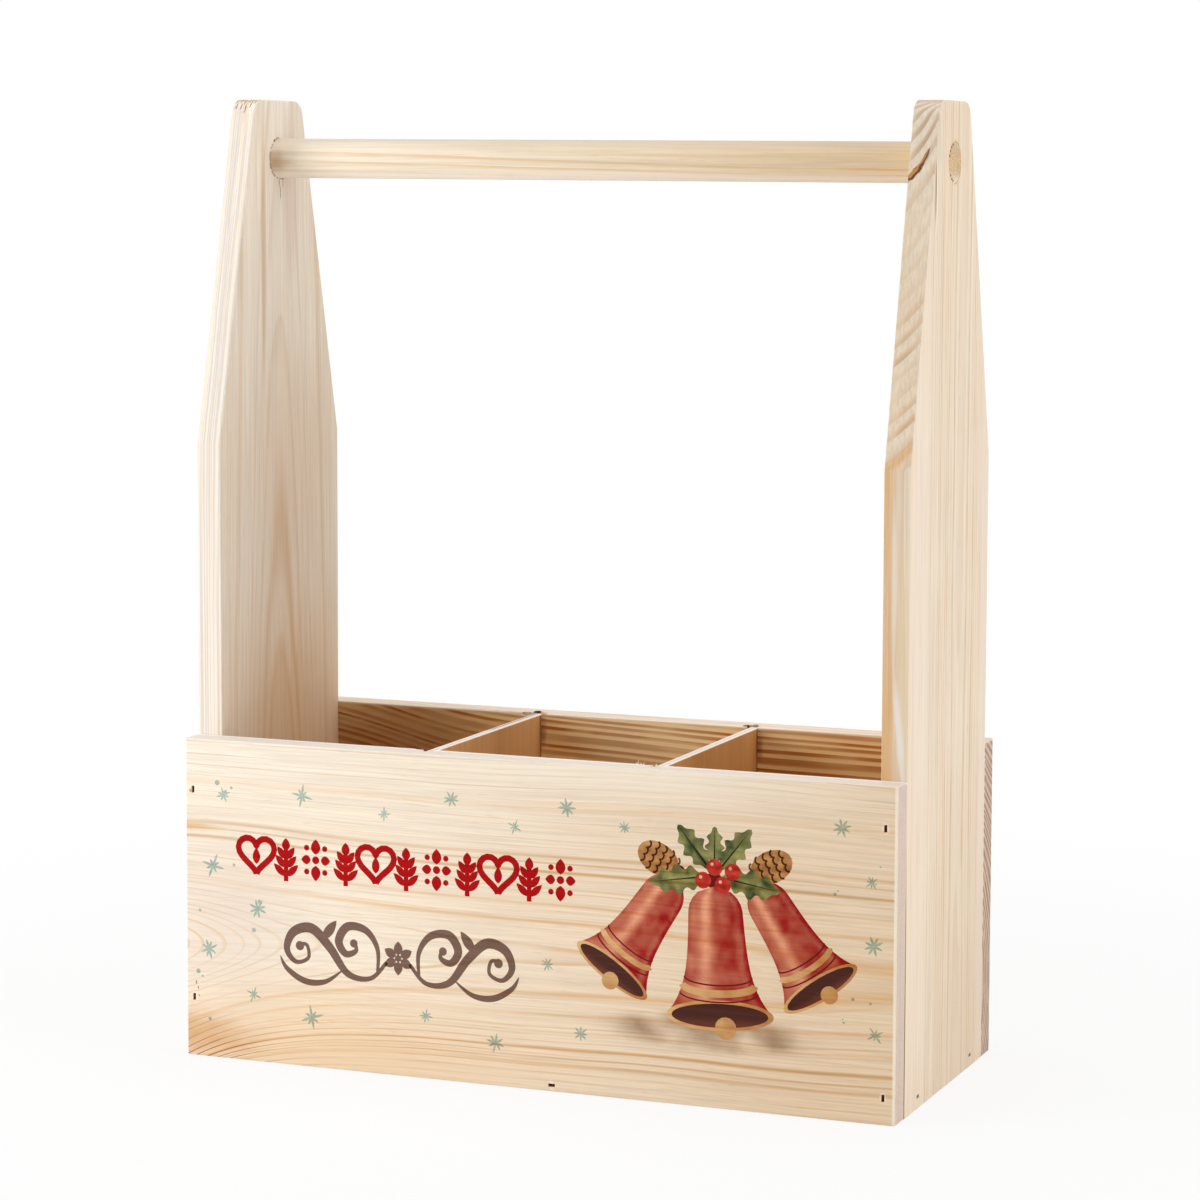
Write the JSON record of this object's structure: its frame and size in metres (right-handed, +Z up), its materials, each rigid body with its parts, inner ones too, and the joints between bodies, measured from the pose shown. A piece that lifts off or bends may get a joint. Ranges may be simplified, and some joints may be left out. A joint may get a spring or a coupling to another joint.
{
  "type": "wooden bottle carrier",
  "caption": "Open pine box with bays for standing bottles, tall tapered ends joined by a round handle rod, and lift-out dividers in grooves.",
  "frame": {"origin": "centre of the underside, on the surface that the carrier stands on", "axes": "+X along the handle rod towards the right end, +Y from the front board to the back board, +Z up"},
  "size_m": [0.3, 0.124, 0.384],
  "materials": {
    "pine_board": "planed and sanded pine, unfinished",
    "divider_plywood": "sanded thin plywood, unfinished",
    "pine_dowel": "turned pine dowel, unfinished",
    "brad_steel": "plain flat steel wire"
  },
  "bodies": {
    "carrier": {"front_board": "pine_board", "back_board": "pine_board", "left_end_board": "pine_board", "right_end_board": "pine_board", "bottom_board": "pine_board", "handle_rod": "pine_dowel", "front_brads": "brad_steel", "back_brads": "brad_steel", "left_end_brads": "brad_steel", "right_end_brads": "brad_steel"},
    "left_divider": {"left_divider": "divider_plywood"},
    "right_divider": {"right_divider": "divider_plywood"}
  },
  "joints": [
    {"name": "left_divider_lift", "type": "slide", "parent": "carrier", "child": "left_divider", "axis": [0, 0, 1], "range_m": [0, 0.125]},
    {"name": "right_divider_lift", "type": "slide", "parent": "carrier", "child": "right_divider", "axis": [0, 0, 1], "range_m": [0, 0.125]}
  ]
}
